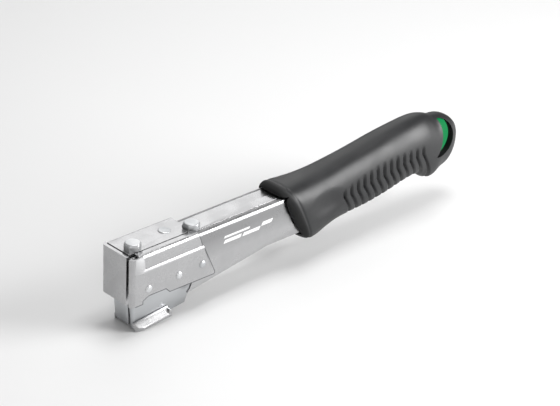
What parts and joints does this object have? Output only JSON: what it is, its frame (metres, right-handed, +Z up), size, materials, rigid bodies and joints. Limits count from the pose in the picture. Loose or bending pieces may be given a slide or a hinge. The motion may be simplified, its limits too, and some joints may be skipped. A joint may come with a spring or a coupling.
{
  "type": "hammer tacker",
  "caption": "Steel hammer tacker with a boxed striking head, swinging staple magazine, channel arm and moulded rubber grip.",
  "frame": {"origin": "on the flat front face of the head, 18 mm below its top, on the tool's centre plane", "axes": "+X along the arm from the head towards the butt of the grip, +Y to the right of a hand on the grip, +Z up out of the top of the head; the staples leave downwards"},
  "size_m": [0.3338, 0.0394, 0.0787],
  "materials": {
    "chrome": "bright nickel-chrome plate on pressed steel",
    "satin_steel": "satin plated steel",
    "tool_steel": "hardened steel, dull grey",
    "staple_wire": "galvanised wire",
    "rubber": "moulded, fine matt grain",
    "green_plastic": "moulded, satin"
  },
  "bodies": {
    "handle": {"front_plate": "chrome", "top_plate": "chrome", "left_cover": "chrome", "right_cover": "chrome", "front_bolt": "chrome", "rear_bolt": "chrome", "left_front_rivet": "chrome", "right_front_rivet": "chrome", "left_middle_rivet": "chrome", "right_middle_rivet": "chrome", "pivot_pin": "chrome", "top_stud": "chrome", "arm_channel": "chrome", "arm_lid": "chrome", "driver_block": "tool_steel", "driver_blade": "tool_steel", "rear_block": "tool_steel", "return_spring": "tool_steel", "core_pin": "tool_steel", "grip_sleeve": "rubber", "grip_core": "green_plastic"},
    "magazine": {"magazine_shell": "satin_steel", "nose_plate": "satin_steel", "left_foot": "chrome", "right_foot": "chrome", "staple_rail": "tool_steel", "staple_stick": "staple_wire", "rear_stop": "tool_steel", "guide_rod": "tool_steel", "pusher_spring": "tool_steel"},
    "pusher": {"pusher": "tool_steel"}
  },
  "joints": [
    {"name": "magazine_pivot", "type": "hinge", "parent": "handle", "child": "magazine", "pos_m": [0.0646, 0, -0.0072], "axis": [0, 1, 0], "range_deg": [0, 8], "stiffness_Nm_per_rad": 3, "springref_deg": -14.32, "deforming": ["return_spring"]},
    {"name": "pusher_slide", "type": "slide", "parent": "magazine", "child": "pusher", "axis": [0.9954, 0, 0.0958], "range_m": [0, 0.009], "stiffness_N_per_m": 250, "springref_m": -0.02, "deforming": ["pusher_spring"]}
  ]
}
